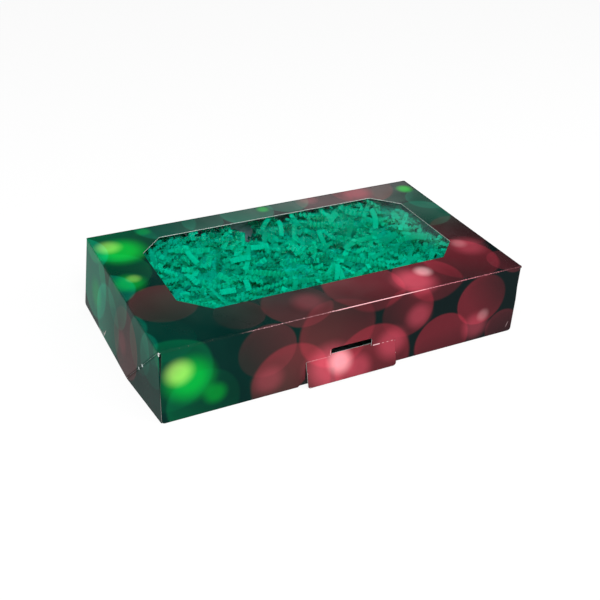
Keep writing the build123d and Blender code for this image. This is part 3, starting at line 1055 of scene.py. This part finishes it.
def scatter(seed, wanted, low, high, lengths, lean_spread, sunk=False, springy=False):
    """Ribbons between two depths under the paper's surface, each clear of the walls, the film and
    the space behind the slot. Sunk ones carry painted shade: they are darker the deeper they lie.
    Springy ones keep all their pleats."""
    rng = np.random.default_rng(seed)
    strips, tries = [], 0
    while len(strips) < wanted and tries < wanted * 12:
        tries += 1
        x, y = rng.uniform(-X_IN, X_IN), rng.uniform(FRONT_IN, BACK_IN)
        level = float(paper_level(x, y))
        lift = level - rng.uniform(low, high)
        if lift < 3.0 or (springy and level < 40.5):
            continue
        length, lean = rng.uniform(*lengths), rng.normal(0, lean_spread)
        p = ribbon(rng, x, y, lift, length, lean, rng.uniform(0.85, 1.1), springy)
        p = kept_inside(p)
        if p[:, 2].min() < LOW_LIMIT - 0.01:
            continue
        off_middle, front, bottom = np.abs(p[:, 0]).min(), p[:, 1].min(), p[:, 2].min()
        if sunk and off_middle < SLOT_SPACE_HALF and front < SLOT_BACK and bottom < SLOT_SPACE_TOP:
            continue
        middle = p.mean(0)
        if middle[2] > paper_level(middle[0], middle[1]) + 1.5:
            continue
        shade = rng.uniform(0, 1)
        # painted shade: a sunk strip is darker the deeper it lies
        if sunk:
            shade *= float(np.clip((middle[2] - 8.0) / 24.0, 0, 1))
        strips.append((p, shade))
    return ribbon_layer(strips)


def paper_look(name, low, high):
    """Thin dyed paper, dull, that lets some light through."""
    made, graph, shader, out = material(name, 0.8, 0.0)
    tone = graph.node("ShaderNodeAttribute", attribute_name="tone").outputs["Fac"]
    where = graph.where()
    fibre = graph.noise(where, 1.6, 3.0, 0.65, 2.0)
    colour = graph.mix(tone, low, high)
    colour = graph.mix(graph.ramp(fibre, 0.3, 0.75, 0.0, 0.22), colour, srgb(0, 214, 164))
    slope = coat(graph, shader, colour, fibre, 0.00003)
    through = graph.node("ShaderNodeBsdfTranslucent")
    graph.fill(through, Color=colour, Normal=slope)
    graph.put(out.inputs[0], graph.two_shaders(PAPER_LIGHT_THROUGH, shader, through).outputs[0])
    return made


def paper_piece(name, made, *layers):
    points, faces, tone, base = [], [], [], 0
    for p, f, t in layers:
        points.append(p)
        faces.extend(tuple(i + base for i in face) for face in f)
        tone.append(t)
        base += len(p)
    obj = new_mesh(name, np.concatenate(points).tolist(), faces, made)
    values = obj.data.attributes.new("tone", "FLOAT", "POINT")
    values.data.foreach_set("value", np.concatenate(tone))
    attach(obj, "tray")
    return obj


def packed_core():
    """The close-packed paper under the strips that show, as one lumpy surface with gaps at the
    hollows."""
    nx, ny = 118, 68
    xs, ys = np.linspace(-X_IN, X_IN, nx), np.linspace(FRONT_IN, BACK_IN, ny)
    gx, gy = np.meshgrid(xs, ys)
    rng = np.random.default_rng(21)
    z = paper_level(gx, gy) - 5.5 + rng.normal(0, 0.9, gx.shape)
    points = np.stack([gx, gy, np.clip(z, 0.9, 40)], -1).reshape(-1, 3) * MM
    faces = []
    for j in range(ny - 1):
        for i in range(nx - 1):
            corner = (j * nx + i, j * nx + i + 1, (j + 1) * nx + i + 1, (j + 1) * nx + i)
            if min(z.reshape(-1)[list(corner)]) > 4.0:
                faces.append(corner)
    return points, faces, rng.uniform(0.6, 0.9, len(points)).astype(np.float32)


PAPER = paper_look("Crinkle_Paper", srgb(0, 172, 139), srgb(0, 218, 174))
# the deep paper is a shaded copy of the paper; its dark end is painted shade for the sunk strips
SHADED_DEEP_PAPER = paper_look("Crinkle_Paper_Deep_Shaded", srgb(0, 96, 84), srgb(0, 224, 190))

# scatter: seed, how many, least and greatest depth, lengths, spread of the lean
crinkle_top = paper_piece(
    "crinkle_paper_top",
    PAPER,
    scatter(11, 300, 0.5, 4.0, (10, 24), 0.3),
    scatter(12, 560, 3.0, 8.5, (14, 34), 0.4),
    scatter(15, 190, -0.4, 2.2, (14, 36), 0.16, springy=True),
    open_ribbons(16),
)

crinkle_fill = paper_piece(
    "crinkle_paper_fill",
    SHADED_DEEP_PAPER,
    packed_core(),
    scatter(13, 900, 8.0, 18.0, (14, 36), 0.4, sunk=True),
    scatter(14, 420, 18.0, 34.0, (16, 36), 0.35, sunk=True),
)
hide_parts("crinkle_strips")
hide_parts("shred_bed")


# Camera
camera_data = bpy.data.cameras.new("Camera")
camera_data.sensor_width = 36.0
camera_data.lens = 55.037
camera_data.clip_start, camera_data.clip_end = 0.01, 50.0
camera = bpy.data.objects.new("Camera", camera_data)
bpy.context.scene.collection.objects.link(camera)
right = Vector((0.894225, -0.445974, 0.038297))
up = Vector((0.205468, 0.484989, 0.850044))
turned = Matrix((right, up, right.cross(up))).transposed().to_4x4()
camera.matrix_world = Matrix.Translation((-0.239469, -0.452798, 0.328812)) @ turned
bpy.context.scene.camera = camera


# Floor, world and lamps
def floor_look():
    made, graph, shader, out = material("Floor_Pale", 0.9, 0.0)
    shader.inputs["Base Color"].default_value = (0.82, 0.82, 0.82, 1)
    path = graph.node("ShaderNodeLightPath")
    seen = graph.larger(path.outputs["Is Camera Ray"], path.outputs["Is Glossy Ray"])
    seen = graph.larger(seen, path.outputs["Is Transmission Ray"])
    white = graph.node("ShaderNodeEmission")
    white.inputs["Strength"].default_value = 1.06
    lift = graph.two_shaders(graph.times(seen, 0.8), shader, white)
    graph.put(out.inputs[0], lift.outputs[0])
    return made


corners = [(x, y, -0.00003) for x, y in ((-4, -4), (4, -4), (4, 4), (-4, 4))]
floor = new_mesh("floor", corners, [(0, 1, 2, 3)], floor_look())

world = bpy.data.worlds.new("Studio")
bpy.context.scene.world = world
world.use_nodes = True
world.node_tree.nodes.clear()
sky = Graph(world.node_tree)
path = sky.node("ShaderNodeLightPath")
look = sky.node("ShaderNodeTexCoord").outputs["Generated"]
_, ahead, height = sky.parts(look)
# what the varnish mirrors: a pale horizon, and a soft panel behind the carton
panel = sky.times(sky.ramp(height, 0.472, 0.452), sky.ramp(ahead, 0.735, 0.775))
panel = sky.times(panel, sky.ramp(ahead, 0.856, 0.838, 0.0, 1.95))
wall = sky.larger(sky.ramp(height, 0.05, 0.36, 1.0, 0.0), panel)
seen = sky.larger(path.outputs["Is Camera Ray"], path.outputs["Is Transmission Ray"])
soft = sky.blend(path.outputs["Is Glossy Ray"], 0.55, wall)
strength = sky.blend(seen, soft, 1.0)
back = sky.node("ShaderNodeBackground")
sky.put(back.inputs["Strength"], strength)
end = sky.node("ShaderNodeOutputWorld")
world.node_tree.links.new(back.outputs[0], end.inputs[0])


def lamp(name, at, size, power):
    """A soft lamp that is turned to the carton."""
    data = bpy.data.lights.new(name, "AREA")
    data.shape = "RECTANGLE"
    data.size, data.size_y = size
    data.energy = power
    obj = bpy.data.objects.new(name, data)
    bpy.context.scene.collection.objects.link(obj)
    obj.location = at
    aim = Vector((0, 0, 0.02)) - Vector(at)
    obj.rotation_mode = "QUATERNION"
    obj.rotation_quaternion = aim.to_track_quat("-Z", "Y")


lamp("Key", (-0.35, -0.75, 1.15), (1.0, 0.7), 14.0)
lamp("Fill", (0.9, -0.8, 0.7), (0.9, 0.9), 6.0)

bpy.context.scene.view_settings.view_transform = "Standard"
